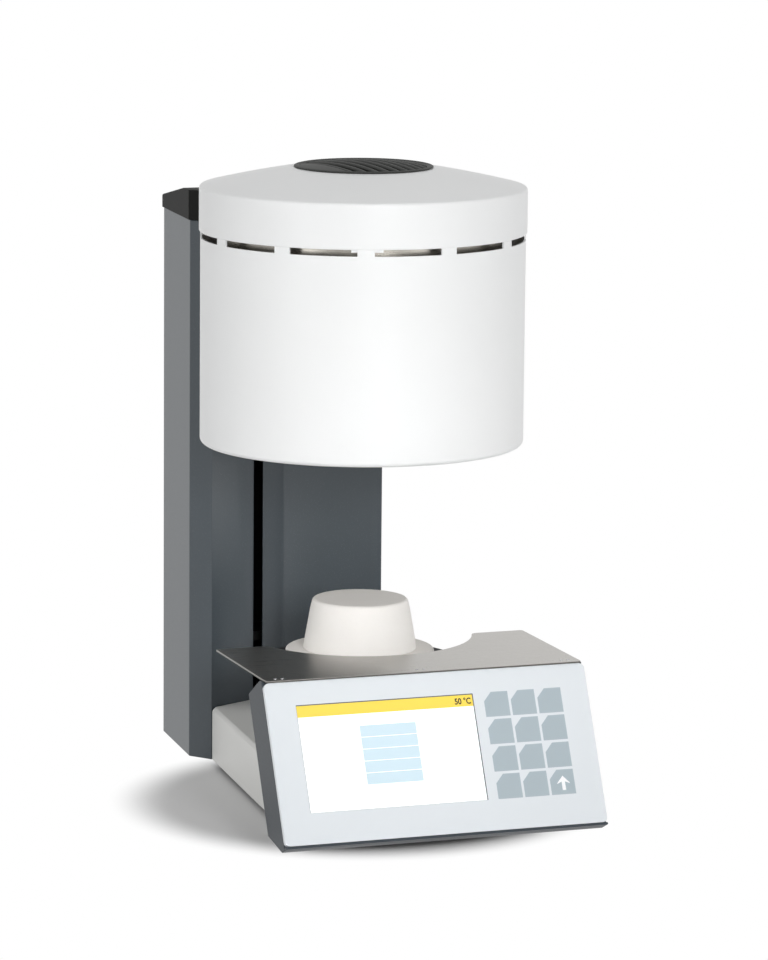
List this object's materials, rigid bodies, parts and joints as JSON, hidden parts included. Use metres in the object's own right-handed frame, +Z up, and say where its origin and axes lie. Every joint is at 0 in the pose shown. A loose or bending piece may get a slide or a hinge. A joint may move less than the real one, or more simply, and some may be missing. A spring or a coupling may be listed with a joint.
{
  "type": "dental furnace",
  "caption": "Tabletop dental lab furnace: a round white hood lifts on a rear column over a ceramic firing plug, with a tilted glass control panel in front.",
  "frame": {"origin": "middle of the bounding box at the bottom of the rubber feet", "axes": "+Z up, -Y towards the user and the control panel, +X to the user's right"},
  "size_m": [0.276, 0.5298, 0.5425],
  "materials": {
    "aluminium": "satin",
    "anthracite_coat": "satin",
    "bearing_steel": "polished",
    "black_coat": "satin",
    "black_plastic": "matte",
    "black_rubber": "matte",
    "board_green": "satin",
    "brass": "satin",
    "bronze": "satin",
    "brushed_steel": "satin",
    "dark_grey_plastic": "matte",
    "display": "gloss",
    "fibre_insulation": "matte",
    "firing_ceramic": "matte",
    "heater_wire": "matte",
    "light_grey_coat": "satin",
    "motor_black": "satin",
    "muffle_ceramic": "matte",
    "polished_steel": "polished",
    "terminal_ceramic": "gloss",
    "white_coat": "satin",
    "white_glass": "gloss",
    "zinc_sheet": "satin"
  },
  "bodies": {
    "stand": {"base_cover": "light_grey_coat", "base_plate": "zinc_sheet", "rubber_feet": "black_rubber", "base_screws": "bearing_steel", "column_shell": "anthracite_coat", "rear_cover": "anthracite_coat", "column_cap": "black_plastic", "lift_frame": "zinc_sheet", "guide_rods": "bearing_steel", "spindle_bearings": "bearing_steel", "lift_motor": "motor_black", "power_supply": "zinc_sheet", "power_inlet": "black_plastic", "switch_frame": "black_plastic", "fuse_holders": "black_plastic", "hose_nipple": "brass", "rear_screws": "bearing_steel", "vacuum_valve": "brass", "panel_housing": "dark_grey_plastic", "glass_front": "white_glass", "display_module": "display", "touch_board": "board_green", "control_board": "board_green", "deck_plate": "brushed_steel", "deck_brackets": "zinc_sheet", "table_pedestal": "light_grey_coat", "table_flange": "black_coat", "table_ring": "firing_ceramic"},
    "hood": {"hood_shell": "white_coat", "hood_lid": "white_coat", "lid_grille": "black_plastic", "inner_shell": "polished_steel", "hood_floor": "brushed_steel", "hood_top_plate": "zinc_sheet", "seal_ring": "firing_ceramic", "muffle": "muffle_ceramic", "muffle_roof": "fibre_insulation", "insulation_sleeve": "fibre_insulation", "insulation_cap": "fibre_insulation", "heater_coil": "heater_wire", "heater_terminals": "terminal_ceramic", "thermocouple": "terminal_ceramic", "hood_bracket": "zinc_sheet", "lift_arm": "zinc_sheet", "arm_screws": "bearing_steel", "lift_carriage": "aluminium", "guide_bushes": "bronze", "spindle_nut": "bronze"},
    "spindle": {"lift_spindle": "bearing_steel", "shaft_coupling": "aluminium", "motor_shaft": "bearing_steel"},
    "rocker": {"switch_rocker": "black_plastic"},
    "plug": {"firing_plug": "firing_ceramic"}
  },
  "joints": [
    {"name": "hood_lift", "type": "slide", "parent": "stand", "child": "hood", "axis": [0, 0, 1], "range_m": [-0.1623, 0]},
    {"name": "spindle_turn", "type": "hinge", "parent": "stand", "child": "spindle", "pos_m": [0, 0.1939, 0.2], "axis": [0, 0, 1], "continuous": true},
    {"name": "rocker_tilt", "type": "hinge", "parent": "stand", "child": "rocker", "pos_m": [0.002, 0.2379, 0.05], "axis": [1, 0, 0], "range_deg": [-12, 0]},
    {"name": "plug_lift", "type": "slide", "parent": "stand", "child": "plug", "axis": [0, 0, 1], "range_m": [0, 0.04]}
  ],
  "couplings": [
    {"joint": "spindle_turn", "follows": "hood_lift", "rad_per_m": -628.32}
  ]
}
